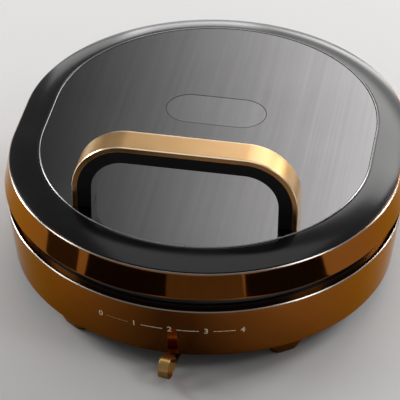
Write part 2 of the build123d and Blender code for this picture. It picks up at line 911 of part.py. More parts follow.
def hinge_housing():
    """Moulded channel behind the base: two slotted ears, a floor and a rear wall that stops the lid."""
    start = end_offset + collar_radius - base_flange_width
    floor_top = housing_floor_height + housing_wall
    side_top = housing_floor_height + housing_wall_rise
    half = housing_half_width
    inner = ear_outer - ear_thickness
    slot_reach = shaft_radius + running_gap
    ear_top = hinge_height + float_travel + slot_reach + ear_top_wall
    body = block((-half, half), (start, housing_back), (housing_floor_height, floor_top))
    body += block((-inner, inner), (start, web_back()), (floor_top, z_base_top - shell_wall))
    body += rear_wall(housing_back - housing_wall, housing_back)
    for side in (-1, 1):
        wall = sorted((side * half, side * (half - housing_wall)))
        body += block(wall, (start, housing_back), (floor_top, side_top))
        ear_span = sorted((side * ear_outer, side * inner))
        ear = block(ear_span, (start, hinge_y + hinge_boss_radius), (floor_top, ear_top))
        crown = ear.edges().filter_by(Axis.X).group_by(Axis.Z)[-1].sort_by(Axis.Y)[-1]
        body += fillet(crown, ear_crown)
    slot = SlotOverall(float_travel + 2 * slot_reach, 2 * slot_reach, rotation=90)
    body -= Pos(0, hinge_y, hinge_height + float_travel / 2) * extrude(Plane.YZ * slot, amount=half, both=True)
    body -= shell_envelope(ear_top)
    for x, z in hinge_screw_points():
        body -= Pos(x, back_face(base_radius(z), x), z) * Rot(90, 0, 0) * Cylinder(screw_radius, 6 * shell_wall)
    return body


def web_back():
    """Y of the back of the housing's middle web, which takes the screws."""
    return end_offset + base_top_radius + housing_wall


def rear_wall(front, back):
    """Wall whose sloped top edge meets the arms' back faces when the lid is fully open."""
    tilt = math.radians(open_angle)

    def stop_height(y):
        rise = (hinge_boss_radius - (y - hinge_y) * math.cos(tilt)) / math.sin(tilt)
        return hinge_height - rise - seat_gap

    outline = make_face(Polyline(
        (0, front, housing_floor_height),
        (0, back, housing_floor_height),
        (0, back, stop_height(back)),
        (0, front, stop_height(front)),
        close=True,
    ))
    return extrude(outline, amount=housing_half_width, dir=(1, 0, 0), both=True)


def shell_envelope(top):
    """Solid body of the base's outside, a seat gap larger, for trimming what stands against it."""
    below = z_shell_bottom - shell_wall
    return ring(section(
        (end_radius / 2, below),
        (base_bottom_radius + seat_gap, below),
        (base_bottom_radius + seat_gap, z_shell_bottom),
        (base_top_radius + seat_gap, z_base_top),
        (base_top_radius + seat_gap, top + shell_wall),
        (end_radius / 2, top + shell_wall),
    ))


def hinge_screws():
    """Four screws from inside the shell into the hinge housing."""
    screws = []
    for x, z in hinge_screw_points():
        nearest = base_radius(z - screw_head_radius) - shell_wall
        seat = back_face(nearest, abs(x) + screw_head_radius) - seat_gap
        length = web_back() - screw_end_gap - seat
        shank = Pos(x, seat + length / 2, z) * Rot(90, 0, 0) * Cylinder(screw_radius - running_gap, length)
        head = Rot(90, 0, 0) * Cylinder(screw_head_radius, screw_head_height)
        screws.append(shank + Pos(x, seat - screw_head_height / 2, z) * head)
    return Compound(children=screws)


def hinge_shaft():
    """Rod through the slotted ears and the lid's arms, grooved for its clips."""
    end = clip_outer() + clip_thickness + shaft_end
    rod = Rot(0, 90, 0) * Cylinder(shaft_radius, 2 * end)
    rod = chamfer(rod.edges(), shaft_chamfer)
    groove = Cylinder(2 * shaft_radius, clip_thickness) - Cylinder(shaft_radius - clip_groove, clip_thickness)
    for side in (-1, 1):
        rod -= Pos(side * (clip_outer() + clip_thickness / 2), 0, 0) * Rot(0, 90, 0) * groove
    return Pos(0, hinge_y, hinge_height) * rod


def clip_outer():
    """Inner side of each clip, beyond the arm and its washer."""
    return arm_inner + hinge_arm_thickness + washer_thickness + 2 * fit_gap


def shaft_washers():
    """Plain washers outside the arms."""
    washers = []
    for side in (-1, 1):
        middle = side * (arm_inner + hinge_arm_thickness + fit_gap + washer_thickness / 2)
        washer = Cylinder(shaft_radius + washer_reach, washer_thickness)
        washer -= Cylinder(shaft_radius + running_gap, washer_thickness)
        washers.append(Pos(middle, hinge_y, hinge_height) * Rot(0, 90, 0) * washer)
    return Compound(children=washers)


def shaft_clips():
    """Open spring clips in the shaft's grooves."""
    clips = []
    for side in (-1, 1):
        middle = side * (clip_outer() + clip_thickness / 2)
        clip = Cylinder(shaft_radius + clip_reach, clip_thickness - 2 * running_gap)
        clip -= Cylinder(shaft_radius - clip_groove + running_gap, clip_thickness)
        clip -= Pos(shaft_radius, 0, 0) * Box(2 * shaft_radius, shaft_radius, clip_thickness)
        clips.append(Pos(middle, hinge_y, hinge_height) * Rot(0, 90, 0) * clip)
    return Compound(children=clips)


def arm_pad_span():
    """Front and back of each arm's pad on the lid's collar."""
    back = hinge_y - hinge_boss_radius - hinge_arm_setback
    return back - hinge_arm_pad_length, back


def lid_hinge_arms():
    """Two arms from the lid's collar, out through its side and down to the hinge shaft."""
    front = hinge_y - hinge_boss_radius
    back = hinge_y + hinge_boss_radius
    top = z_collar_top + hinge_arm_lift
    pad_front, pad_back = arm_pad_span()
    pad_top = z_collar_top + hinge_arm_pad_height
    outline = Polyline(
        (0, front, hinge_height),
        (0, front, z_collar_top),
        (0, pad_front, z_collar_top),
        (0, pad_front, pad_top),
        (0, pad_back, pad_top),
        (0, pad_back + hinge_arm_lift - hinge_arm_pad_height, top),
        (0, back - hinge_arm_bevel, top),
        (0, back, top - hinge_arm_bevel),
        (0, back, hinge_height),
        close=True,
    )
    middle = arm_inner + hinge_arm_thickness / 2
    half = hinge_arm_pad_width / 2
    arm = extrude(make_face(outline), amount=hinge_arm_thickness / 2, dir=(1, 0, 0), both=True)
    arm = Pos(middle, 0, 0) * arm
    arm += Pos(middle, hinge_y, hinge_height) * Rot(0, 90, 0) * Cylinder(hinge_boss_radius, hinge_arm_thickness)
    pad = block((middle - half, middle + half), (pad_front, pad_back - hinge_arm_pad_height), (z_collar_top, pad_top))
    arm += fillet(pad.edges().filter_by(Axis.Z), hinge_arm_pad_height)
    bore = Cylinder(shaft_radius + running_gap, 2 * hinge_arm_thickness)
    arm -= Pos(middle, hinge_y, hinge_height) * Rot(0, 90, 0) * bore
    for x, y in arm_screw_points():
        if x > 0:
            arm -= disc(screw_radius + seat_gap, z_collar_top - cut_margin, pad_top + cut_margin, x, y)
    return Compound(children=[arm, mirror(arm, Plane.YZ)])


def arm_screw_points():
    """Plan places of the screws that hold the arms down on the lid's collar."""
    middle = arm_inner + hinge_arm_thickness / 2
    pad_front, pad_back = arm_pad_span()
    y = (pad_front + pad_back - hinge_arm_pad_height) / 2
    offset = hinge_arm_pad_width / 2 - screw_head_radius - fit_gap
    return [(side * (middle + dx), y) for side in (-1, 1) for dx in (-offset, offset)]


def screw_down(x, y, seat, length):
    """Round-headed screw driven downwards, its head above the seat."""
    shank = disc(screw_radius - running_gap, seat - length, seat, x, y)
    head = disc(screw_head_radius, seat, seat + screw_head_height, x, y)
    head = chamfer(head.edges().group_by(Axis.Z)[-1], screw_head_chamfer)
    return shank + head


def screw_up(x, y, seat, length):
    """Round-headed screw driven upwards, its head below the seat."""
    return mirror(screw_down(x, y, -seat, length), Plane.XY)


def arm_screws():
    """Screws of the lid's hinge arms."""
    seat = z_collar_top + hinge_arm_pad_height
    length = hinge_arm_pad_height + base_collar_height
    return Compound(children=[screw_down(x, y, seat, length) for x, y in arm_screw_points()])


def lid_screw_points():
    """Plan places of the screws that join the collar to the rim's bosses."""
    return edge_points(end_radius - lid_screw_inset, lid_screw_angles)


def lid_screws():
    """Screws from under the lid's collar up into the rim's bosses, heads sunk in the collar."""
    seat = z_lid_seam + screw_head_height + fit_gap
    length = z_collar_top - seat + lid_screw_grip
    return Compound(children=[screw_up(x, y, seat, length) for x, y in lid_screw_points()])


def lid_collar():
    """Black ring under the lid that carries the upper plate, stepped like the base's collar."""
    below = z_lid_seam - cut_margin
    above = z_collar_top + cut_margin
    body = plate(lid_collar_radius, z_lid_seam, z_lid_bottom)
    body += plate(lid_radius(z_collar_top) - shell_wall - fit_gap, z_lid_bottom, z_collar_top)
    for i in range(collar_grooves):
        middle = z_lid_seam + (z_lid_bottom - z_lid_seam) * (i + 1) / (collar_grooves + 1)
        low = middle - collar_groove_height / 2
        high = middle + collar_groove_height / 2
        core = plate(lid_collar_radius - collar_groove_depth, low, high)
        body -= plate(lid_collar_radius + cut_margin, low, high) - core
    body -= disc(pan_outer + pan_opening_gap, below, above)
    body -= disc(flange_radius + fit_gap, below, z_upper_flange)
    for x, y in lid_screw_points():
        body -= disc(screw_radius, below, above, x, y)
        body -= disc(screw_head_radius + fit_gap, below, z_lid_seam + screw_head_height + fit_gap, x, y)
    for x, y in arm_screw_points():
        body -= disc(screw_radius, z_collar_top - base_collar_height, above, x, y)
    for angle in bracket_angles():
        x, y = polar(bracket_screw_radii()[1], angle)
        body -= disc(screw_radius, z_collar_top - bracket_screw_length, above, x, y)
    return body


def lid_band():
    """Sloping metal side of the lid, notched at the back for the two arms."""
    wall = section(
        (lid_bottom_radius - edge_chamfer, z_lid_bottom),
        (lid_bottom_radius, z_lid_bottom + edge_chamfer),
        (end_radius, z_lid_edge - edge_chamfer),
        (end_radius - edge_chamfer, z_lid_edge),
        (end_radius - shell_wall, z_lid_edge),
        (lid_bottom_radius - shell_wall, z_lid_bottom),
    )
    band = ring(wall)
    near = arm_inner - notch_clearance
    far = arm_inner + hinge_arm_thickness + notch_clearance
    top = z_collar_top + hinge_arm_lift + notch_clearance
    for side in (-1, 1):
        span = sorted((side * near, side * far))
        band -= block(span, (arm_pad_span()[1], hinge_y), (z_lid_bottom - cut_margin, top))
    return band


def lid_rim():
    """Glossy sloping frame round the panel, with a ledge, a locating lip and screw bosses."""
    lip = end_radius - shell_wall - fit_gap
    under = z_panel - panel_thickness
    frame = ring(section(
        (rim_outer, z_lid_edge),
        (rim_outer, z_lid_edge + rim_edge, -rim_crown),
        (rim_inner, z_panel),
        (rim_inner, under),
        (ledge_radius, under),
        (ledge_radius, under - rim_wall),
        (lip - rim_lip_wall, z_lid_edge - rim_wall),
        (lip - rim_lip_wall, z_lid_edge - rim_lip_depth),
        (lip, z_lid_edge - rim_lip_depth),
        (lip, z_lid_edge),
    ))
    for x, y in lid_screw_points():
        frame += disc(screw_radius + boss_wall, z_collar_top, z_lid_edge, x, y)
        frame -= disc(screw_radius, z_collar_top - cut_margin, z_collar_top + rim_boss_depth, x, y)
    return frame


def panel_trim():
    """Thin bright ring between the rim and the panel."""
    outer = rim_inner - seat_gap / 2
    inner = outer - trim_width
    low = z_panel - panel_thickness
    high = z_panel + trim_stand
    return ring(section((inner, low), (outer, low), (outer, high), (inner, high)))


def badge_outline(grow):
    """Pill outline of the badge, grown all round by a given amount."""
    return Pos(0, badge_centre) * SlotOverall(badge_length + 2 * grow, badge_width + 2 * grow)


def lid_panel():
    """Thin metal panel with a shallow seat for the badge plate and holes for the handle screws."""
    low = z_panel - panel_thickness
    panel = plate(panel_radius, low, z_panel)
    panel = chamfer(panel.edges().group_by(Axis.Z)[-1], panel_chamfer)
    seat = Plane.XY.offset(z_panel - badge_thickness) * badge_outline(badge_gap)
    panel -= extrude(seat, amount=2 * badge_thickness)
    for x, y in handle_screw_points():
        panel -= disc(screw_radius + seat_gap, low - cut_margin, z_panel + cut_margin, x, y)
    return panel


def badge_plate():
    """Bare pill-shaped inlay with a fine gap all round."""
    low = Plane.XY.offset(z_panel - badge_thickness) * badge_outline(0)
    inlay = extrude(low, amount=badge_thickness - badge_sink)
    return chamfer(inlay.edges().group_by(Axis.Z)[-1], panel_chamfer)


def panel_backing():
    """Moulded plate that stiffens the panel and takes the pull of the handle."""
    high = z_panel - panel_thickness
    low = high - backing_thickness
    foot = low - backing_rib_height
    backing = plate(ledge_radius - fit_gap, low, high)
    ribs = math.floor((ledge_radius - backing_rib_setback) / backing_rib_pitch)
    for i in range(-ribs, ribs + 1):
        x = i * backing_rib_pitch
        half = back_face(ledge_radius - backing_rib_setback, x)
        backing += block((x - backing_rib_width / 2, x + backing_rib_width / 2), (-half, half), (foot, low))
    for x, y in handle_screw_points():
        backing -= disc(screw_head_radius + fit_gap, foot - cut_margin, low, x, y)
        backing -= disc(screw_radius + seat_gap, low - cut_margin, high + cut_margin, x, y)
    return backing


def handle_front():
    """Y of the handle's front face, just inside the panel's edge at the legs."""
    edge = back_face(panel_radius, handle_half_width)
    return -(edge - handle_edge_setback)


def arch(grow, setback):
    """Solid arch under the handle's outline, drawn in by grow and set back front and rear."""
    half = handle_half_width - grow
    top = handle_height - grow
    corner = handle_corner - grow
    outline = Plane.XZ * Pos(0, z_panel) * make_face(FilletPolyline(
        (-half, 0),
        (-half, top),
        (half, top),
        (half, 0),
        radius=corner,
    ) + Line((half, 0), (-half, 0)))
    solid = extrude(outline, amount=handle_depth - 2 * setback, dir=(0, 1, 0))
    return Pos(0, handle_front() + setback, 0) * solid


def handle_strap():
    """Thick satin strap over the outside of the handle, its long edges bevelled."""
    outer = arch(0, 0)
    rims = outer.edges().filter_by(Plane.XZ).filter_by(lambda e: e.center().Z > z_panel + cut_margin)
    outer = chamfer(rims, strap_bevel)
    return outer - arch(strap_thickness, -cut_margin)


def handle_core():
    """Black grip under the strap, rounded where fingers reach it."""
    inside = strap_thickness + core_thickness
    core = arch(strap_thickness + seat_gap / 2, core_setback) - arch(inside, -cut_margin)
    reach_edges = core.edges().filter_by(lambda e: on_inner_edge(e, inside))
    core = fillet(reach_edges, core_rounding)
    for x, y in handle_screw_points():
        core -= disc(screw_radius, z_panel - cut_margin, z_panel + handle_screw_length, x, y)
    return core


def on_inner_edge(edge, inside):
    """True for the long edges of the grip's inner face."""
    middle = edge.center()
    front = handle_front() + core_setback
    rear = handle_front() + handle_depth - core_setback
    on_side = min(abs(middle.Y - front), abs(middle.Y - rear)) < seat_gap
    in_width = abs(middle.X) < handle_half_width - inside + seat_gap
    in_height = z_panel + seat_gap < middle.Z < z_panel + handle_height - inside + seat_gap
    return on_side and in_width and in_height


def handle_screw_points():
    """Plan places of the four handle screws, two under each leg."""
    x = handle_half_width - strap_thickness - core_thickness / 2
    middle = handle_front() + handle_depth / 2
    return [(side * x, middle + dy) for side in (-1, 1) for dy in (-handle_screw_spread, handle_screw_spread)]


def handle_screws():
    """Screws from under the backing plate up into the handle's legs."""
    seat = z_panel - panel_thickness - backing_thickness
    length = backing_thickness + panel_thickness + handle_screw_length - screw_end_gap
    return Compound(children=[screw_up(x, y, seat, length) for x, y in handle_screw_points()])


def cover_screws():
    """Screws from inside the cover down into the legs."""
    length = cover_thickness + screw_radius * 2 - seat_gap
    return Compound(children=[screw_down(x, y, z_shell_bottom, length) for x, y in foot_points()])


def fuse_height():
    """Height of the fuse's axis, just under the lower heat shield."""
    return shield_levels(z_pan_bottom, -1)[1] - fuse_radius - seat_gap


def thermal_fuse():
    """Sleeved fuse that lies against the heat shield, with a lead at each end."""
    sleeve = Rot(0, 90, 0) * Cylinder(fuse_radius, fuse_length)
    leads = Rot(0, 90, 0) * Cylinder(fuse_lead_radius, fuse_length + 2 * fuse_lead_length)
    return Pos(*fuse_place, fuse_height()) * (sleeve + leads)


def fuse_clip():
    """Spring strap that holds the fuse up against the shield."""
    inner = fuse_radius + running_gap
    outer = inner + clip_strap
    half = clip_width / 2
    top = fuse_radius
    hoop = Rot(0, 90, 0) * (Cylinder(outer, clip_width) - Cylinder(inner, clip_width))
    clip = hoop - block((-clip_width, clip_width), (-2 * outer, 2 * outer), (0, 2 * outer))
    for side in (-1, 1):
        clip += block((-half, half), sorted((side * inner, side * outer)), (0, top))
        clip += block((-half, half), sorted((side * inner, side * (outer + clip_tab))), (top - clip_strap, top))
    return Pos(*fuse_place, fuse_height()) * clip


def way_places():
    """X of each way of the terminal block."""
    pitch = block_length / block_ways
    return [block_place[0] + (i - (block_ways - 1) / 2) * pitch for i in range(block_ways)]


def terminal_block():
    """Moulded block on the cover with a row of open ways."""
    x, y = block_place
    low = z_shell_bottom
    top = low + block_height
    half = block_length / 2
    body = block((x - half, x + half), (y - block_width / 2, y + block_width / 2), (low, top))
    body = chamfer(body.edges().group_by(Axis.Z)[-1], cover_edge_chamfer)
    floor = low + way_floor
    for way in way_places():
        span = (way - way_width / 2, way + way_width / 2)
        body -= block(span, (y - block_width, y + block_width), (floor, floor + way_height))
        body -= disc(way_screw_radius + fit_gap, floor + way_height - cut_margin, top + cut_margin, way, y)
    return body


def terminal_inserts():
    """Brass tubes in the ways of the terminal block, each with its screw."""
    y = block_place[1]
    low = z_shell_bottom + way_floor + seat_gap / 2
    high = low + way_height - seat_gap
    half = way_width / 2 - seat_gap
    inserts = []
    for way in way_places():
        tube = block((way - half, way + half), (y - insert_length / 2, y + insert_length / 2), (low, high))
        bore = Cylinder(way_height / 2 - insert_wall / 2, 2 * insert_length)
        tube -= Pos(way, y, (low + high) / 2) * Rot(90, 0, 0) * bore
        inserts.append(tube + disc(way_screw_radius, high, z_shell_bottom + block_height - cut_margin, way, y))
    return Compound(children=inserts)


def upper_cutout():
    """Bimetal cut-out on the back of the upper plate."""
    low = z_upper_back + seat_gap
    top = low + cutout_height
    body = disc(cutout_radius, low, top)
    ear = cutout_radius + cutout_ear
    body += block((-ear, ear), (-cutout_radius / 2, cutout_radius / 2), (low, low + cutout_flange))
    for side in (-1, 1):
        near = cutout_tab_pitch / 2
        span = sorted((side * near, side * (near + tab_thickness)))
        body += block(span, (-tab_width / 2, tab_width / 2), (top, top + tab_length))
    return body


nodes = {
    "base_shell": base_shell,
    "base_collar": base_collar,
    "collar_screws": collar_screws,
    "bottom_cover": bottom_cover,
    "foot_posts": foot_posts,
    "rubber_feet": rubber_feet,
    "cover_screws": cover_screws,
    "lower_pan": lower_pan,
    "tie_screws": tie_screws,
    "lower_heating_tube": lambda: heating_tube(z_pan_bottom, -1),
    "lower_heat_shield": lambda: heat_shield(z_pan_bottom, -1),
    "thermostat": thermostat,
    "thermal_fuse": thermal_fuse,
    "fuse_clip": fuse_clip,
    "terminal_block": terminal_block,
    "terminal_inserts": terminal_inserts,
    "power_inlet": power_inlet,
    "inlet_pins": inlet_pins,
    "hinge_housing": hinge_housing,
    "hinge_screws": hinge_screws,
    "thermostat_spindle": thermostat_spindle,
    "spindle_nut": spindle_nut,
    "lever_arm": lever_arm,
    "lever_knob": lever_knob,
    "lever_rivets": lever_rivets,
    "hinge_shaft": hinge_shaft,
    "shaft_washers": shaft_washers,
    "shaft_clips": shaft_clips,
    "lid_collar": lid_collar,
    "lid_band": lid_band,
    "lid_rim": lid_rim,
    "panel_trim": panel_trim,
    "lid_panel": lid_panel,
    "badge_plate": badge_plate,
    "panel_backing": panel_backing,
    "handle_core": handle_core,
    "handle_strap": handle_strap,
    "handle_screws": handle_screws,
    "upper_pan": upper_pan,
    "pan_brackets": pan_brackets,
    "bracket_screws": bracket_screws,
    "shield_screws": shield_screws,
    "upper_heating_tube": lambda: heating_tube(z_upper_back, 1),
    "upper_heat_shield": lambda: heat_shield(z_upper_back, 1),
    "upper_cutout": upper_cutout,
    "lid_hinge_arms": lid_hinge_arms,
    "arm_screws": arm_screws,
    "lid_screws": lid_screws,
}

os.makedirs("parts", exist_ok=True)
for name, make in nodes.items():
    export_step(make(), f"parts/{name}.step")
print(f"{len(nodes)} nodes, hinge axis y {hinge_y:.3f}, housing back {housing_back:.2f}")
print(f"curl centre {curl_y:.2f} {curl_z:.2f}, handle front {handle_front():.2f}")
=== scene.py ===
import math
import bpy
import bmesh
from mathutils import Vector, Matrix


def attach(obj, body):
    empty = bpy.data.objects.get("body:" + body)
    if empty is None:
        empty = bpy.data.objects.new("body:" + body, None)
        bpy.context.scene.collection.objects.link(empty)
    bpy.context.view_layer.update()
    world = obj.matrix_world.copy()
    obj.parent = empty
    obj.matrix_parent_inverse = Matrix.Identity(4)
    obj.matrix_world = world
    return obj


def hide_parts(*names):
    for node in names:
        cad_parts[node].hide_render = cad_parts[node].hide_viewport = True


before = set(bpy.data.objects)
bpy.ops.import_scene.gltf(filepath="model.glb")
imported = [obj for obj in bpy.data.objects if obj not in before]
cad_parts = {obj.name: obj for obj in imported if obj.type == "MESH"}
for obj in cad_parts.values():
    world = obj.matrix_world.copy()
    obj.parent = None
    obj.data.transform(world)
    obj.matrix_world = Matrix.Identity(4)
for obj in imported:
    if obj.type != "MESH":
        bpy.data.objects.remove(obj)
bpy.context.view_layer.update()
mm = 0.001

# Sizes of the shown pieces, in millimetres. A radius is measured from the centre of the nearer round end.
END_OFFSET = 26.0
Z_SHELL_BOTTOM = 18.0
Z_BASE_TOP = 68.0
Z_LID_BOTTOM = 81.0
Z_LID_EDGE = 105.0
Z_PANEL = 112.0
Z_SEAT = 111.0
BASE_BOTTOM_RADIUS = 167.0
BASE_TOP_RADIUS = 172.6
LID_BOTTOM_RADIUS = 174.0
RIM_OUTER = 168.6
RIM_LIP = 144.5
RIM_CROWN = -1.1
RING_INNER = 142.42
RING_OUTER = 144.38
ROUND_STEPS = 96
INLET_CUT = ((-190, -15.3, 24.7), (-150, 15.3, 47.3))
HINGE_ARM_CUTS = (((31.4, 160, 80), (40.6, 206, 92.1)), ((-40.6, 160, 80), (-31.4, 206, 92.1)))
BOSS_RADIUS = 4.9
BOSS_CIRCLE = 161.5
BOSS_LOW = 83.6
BOSS_HIGH = 104.0
BOSS_DEGREES = (28, 75, 105, 152)


def collection():
    return bpy.context.scene.collection


# Node-tree helpers

def new_material(name):
    mat = bpy.data.materials.new(name)
    mat.use_nodes = True
    tree = mat.node_tree
    shader = tree.nodes["Principled BSDF"]
    return mat, tree, shader


def add(tree, kind, **settings):
    node = tree.nodes.new(kind)
    for key, value in settings.items():
        if key in node.inputs:
            node.inputs[key].default_value = value
        else:
            setattr(node, key, value)
    return node


def object_coords(tree, scale):
    coords = add(tree, "ShaderNodeTexCoord")
    mapping = add(tree, "ShaderNodeMapping")
    mapping.inputs["Scale"].default_value = scale
    tree.links.new(coords.outputs["Object"], mapping.inputs["Vector"])
    return mapping.outputs["Vector"]


def noise(tree, scale, detail=4.0, stretch=(1, 1, 1), roughness=0.55):
    node = add(tree, "ShaderNodeTexNoise")
    node.inputs["Scale"].default_value = scale
    node.inputs["Detail"].default_value = detail
    node.inputs["Roughness"].default_value = roughness
    tree.links.new(object_coords(tree, stretch), node.inputs["Vector"])
    return node.outputs["Fac"]


def spread(tree, value, low, high, start=0.3, end=0.7):
    node = add(tree, "ShaderNodeMapRange")
    node.inputs["From Min"].default_value = start
    node.inputs["From Max"].default_value = end
    node.inputs["To Min"].default_value = low
    node.inputs["To Max"].default_value = high
    tree.links.new(value, node.inputs["Value"])
    return node.outputs["Result"]


def blend_colours(tree, value, dark, light):
    ramp = add(tree, "ShaderNodeValToRGB")
    ramp.color_ramp.elements[0].position = 0.3
    ramp.color_ramp.elements[1].position = 0.7
    ramp.color_ramp.elements[0].color = (*dark, 1)
    ramp.color_ramp.elements[1].color = (*light, 1)
    tree.links.new(value, ramp.inputs["Fac"])
    return ramp.outputs["Color"]


def bump(tree, shader, value, strength, distance):
    node = add(tree, "ShaderNodeBump")
    node.inputs["Strength"].default_value = strength
    node.inputs["Distance"].default_value = distance
    tree.links.new(value, node.inputs["Height"])
    tree.links.new(node.outputs["Normal"], shader.inputs["Normal"])


def metal(name, dark, light, rough, smudge_scale=18.0, grain=None, grain_rough=0.0, edge=(1, 1, 1),
          relief=0.12, lacquer=0.0):
    """Metal with soft smudges in its gloss and, where asked, fine brushed lines and a clear satin lacquer."""
    mat, tree, shader = new_material(name)
    shader.inputs["Metallic"].default_value = 1.0
    cloud = noise(tree, smudge_scale, 5.0)
    shade = cloud
    gloss = spread(tree, cloud, rough[0], rough[1])
    if grain:
        lines = noise(tree, 1.0, 6.0, grain, 0.75)
        mixed = add(tree, "ShaderNodeMath", operation="MULTIPLY_ADD")
        tree.links.new(spread(tree, lines, -0.11, 0.11, 0.35, 0.65), mixed.inputs[0])
        mixed.inputs[1].default_value = 1.0
        tree.links.new(cloud, mixed.inputs[2])
        shade = mixed.outputs[0]
        added = add(tree, "ShaderNodeMath", operation="ADD")
        tree.links.new(gloss, added.inputs[0])
        tree.links.new(spread(tree, lines, -grain_rough, grain_rough), added.inputs[1])
        gloss = added.outputs[0]
        bump(tree, shader, lines, relief, 0.00004)
    tree.links.new(blend_colours(tree, shade, dark, light), shader.inputs["Base Color"])
    tree.links.new(gloss, shader.inputs["Roughness"])
    shader.inputs["Specular Tint"].default_value = (*edge, 1)
    shader.inputs["Coat Weight"].default_value = lacquer
    shader.inputs["Coat Roughness"].default_value = 0.25
    return mat


def plastic(name, dark, light, rough, scale=60.0, texture=0.0, specular=0.5):
    """Moulded plastic with slight colour and gloss changes, and a fine moulded texture where asked."""
    mat, tree, shader = new_material(name)
    cloud = noise(tree, scale, 5.0)
    tree.links.new(blend_colours(tree, cloud, dark, light), shader.inputs["Base Color"])
    tree.links.new(spread(tree, cloud, rough[0], rough[1]), shader.inputs["Roughness"])
    shader.inputs["Specular IOR Level"].default_value = specular
    if texture:
        bump(tree, shader, noise(tree, 900.0, 2.0), texture, 0.0001)
    return mat


bronze = metal("bronze_mirror", (0.27, 0.084, 0.013), (0.32, 0.102, 0.018), (0.05, 0.10), 9.0,
               edge=(0.96, 0.72, 0.46))
satin_gold = metal("satin_gold", (0.54, 0.305, 0.105), (0.60, 0.355, 0.14), (0.32, 0.38), 30.0,
                   (30, 1400, 30), 0.04, edge=(1.0, 0.88, 0.70), lacquer=0.8)
cut_gold = metal("cut_gold_edge", (0.90, 0.72, 0.50), (0.95, 0.78, 0.57), (0.28, 0.36), 60.0)
# Darker, browner copy of the satin gold for the strap's front and back faces: painted shade
strap_faces_painted_shade = metal("strap_faces_painted_shade", (0.40, 0.19, 0.06), (0.46, 0.23, 0.08), (0.20, 0.28), 40.0,
                   edge=(1.0, 0.86, 0.62))
bright_edge = metal("bright_edge", (0.62, 0.57, 0.52), (0.70, 0.65, 0.60), (0.2, 0.28), 40.0)
trim_grey = metal("trim_grey", (0.23, 0.225, 0.22), (0.28, 0.275, 0.27), (0.22, 0.30), 40.0)
panel_metal = metal("brushed_panel", (0.106, 0.104, 0.107), (0.136, 0.134, 0.137), (0.10, 0.13), 3.0,
                    (260, 2.5, 2.5), 0.02, relief=0.02)
badge_metal = metal("brushed_badge", (0.116, 0.114, 0.116), (0.146, 0.144, 0.146), (0.11, 0.14), 5.0,
                    (260, 2.5, 2.5), 0.02, relief=0.02)
gloss_black = plastic("gloss_black", (0.004, 0.004, 0.0045), (0.007, 0.007, 0.0075), (0.14, 0.20), 14.0,
                      specular=0.45)
moulded_black = plastic("moulded_black", (0.010, 0.010, 0.011), (0.017, 0.017, 0.018), (0.32, 0.44), 50.0,
                        0.25, specular=0.35)
collar_black = plastic("collar_black", (0.006, 0.006, 0.007), (0.010, 0.010, 0.012), (0.14, 0.24), 40.0, 0.08)
grip_black = plastic("grip_black", (0.004, 0.004, 0.005), (0.007, 0.0065, 0.0075), (0.42, 0.52), 30.0, 0.05,
                     specular=0.2)
rubber = plastic("matt_rubber", (0.018, 0.018, 0.018), (0.03, 0.03, 0.03), (0.62, 0.8), 120.0, 0.5)
coated_plate = plastic("coated_plate", (0.016, 0.016, 0.017), (0.028, 0.027, 0.027), (0.38, 0.5), 240.0, 0.35)
dark_steel = metal("heated_steel", (0.16, 0.15, 0.14), (0.26, 0.24, 0.22), (0.3, 0.45), 60.0)
sheet_steel = metal("sheet_steel", (0.55, 0.55, 0.54), (0.66, 0.66, 0.65), (0.24, 0.36), 30.0,
                    (10, 700, 10), 0.04)
plated_steel = metal("plated_steel", (0.52, 0.52, 0.52), (0.64, 0.64, 0.63), (0.18, 0.3), 80.0)
turned_brass = metal("turned_brass", (0.6, 0.44, 0.18), (0.7, 0.54, 0.25), (0.2, 0.3), 80.0)
ceramic = plastic("white_ceramic", (0.66, 0.63, 0.57), (0.74, 0.71, 0.66), (0.5, 0.65), 90.0, 0.3)
white_moulding = plastic("white_moulding", (0.62, 0.62, 0.6), (0.68, 0.68, 0.66), (0.35, 0.45), 60.0, 0.2)
painted_black = plastic("painted_black", (0.012, 0.012, 0.012), (0.022, 0.021, 0.021), (0.28, 0.4), 120.0,
                        0.4)
knob_gold = metal("knob_gold", (0.93, 0.54, 0.18), (0.97, 0.61, 0.24), (0.28, 0.36), 40.0,
                  edge=(1.0, 0.88, 0.66))
print_gold = plastic("print_gold", (0.78, 0.63, 0.44), (0.84, 0.70, 0.52), (0.35, 0.45), 200.0)

# The nodes of each material
for mat, nodes in (
    (bronze, "base_shell lid_band foot_posts lever_knob"),
    (satin_gold, "handle_strap"),
    (bright_edge, "panel_trim"),
    (panel_metal, "lid_panel"),
    (badge_metal, "badge_plate"),
    (gloss_black, "lid_rim"),
    (grip_black, "handle_core"),
    (collar_black, "base_collar lid_collar"),
    (moulded_black, "bottom_cover hinge_housing panel_backing power_inlet"),
    (painted_black, "lid_hinge_arms"),
    (rubber, "rubber_feet"),
    (coated_plate, "lower_pan upper_pan"),
    (dark_steel, "lower_heating_tube upper_heating_tube"),
    (sheet_steel, "lower_heat_shield upper_heat_shield fuse_clip pan_brackets"),
    (ceramic, "thermostat thermal_fuse upper_cutout"),
    (white_moulding, "terminal_block"),
    (turned_brass, "terminal_inserts"),
    (plated_steel, "inlet_pins thermostat_spindle spindle_nut lever_arm lever_rivets hinge_shaft shaft_washers"
                   " shaft_clips cover_screws hinge_screws handle_screws arm_screws lid_screws collar_screws"
                   " tie_screws bracket_screws shield_screws"),
):
    for node in nodes.split():
        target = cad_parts[node].data
        target.materials.clear()
        target.materials.append(mat)


# Mesh helpers

